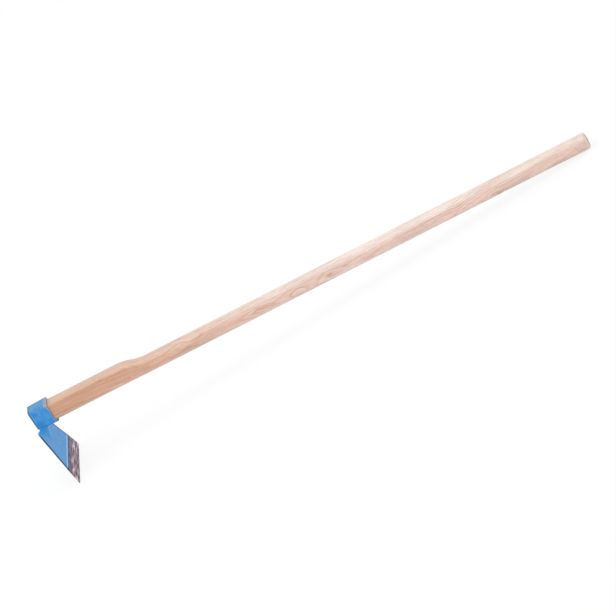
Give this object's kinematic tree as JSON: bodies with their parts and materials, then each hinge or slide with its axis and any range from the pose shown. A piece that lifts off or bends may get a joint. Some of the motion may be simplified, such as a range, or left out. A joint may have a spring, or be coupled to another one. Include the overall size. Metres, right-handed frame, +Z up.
{
  "type": "garden hoe",
  "caption": "Long-handled field hoe: a wide flared steel blade forged in one with a deep eye, wedged on a straight ash handle that is flat-sided near the head and round along the grip.",
  "frame": {"origin": "the floor under the middle of the hoe's box, with the hoe lying on its cutting edge and the low side of its grip end", "axes": "+X along the handle from the head to the grip, 5.2 degrees steeper than the floor; +Z up; -Y out of the block's near flat side; Y = 0 is the plane of symmetry"},
  "size_m": [1.2976, 0.163, 0.1659],
  "materials": {
    "blue_paint": "satin enamel over forged steel, worn off at the ground cutting strip",
    "ash": "planed and sanded, unvarnished",
    "beech": "raw end grain",
    "wedge_steel": "plain rolled steel"
  },
  "bodies": {
    "root": {"hoe_head": "blue_paint", "handle": "ash", "wood_wedge": "beech", "steel_wedge": "wedge_steel"}
  },
  "joints": []
}
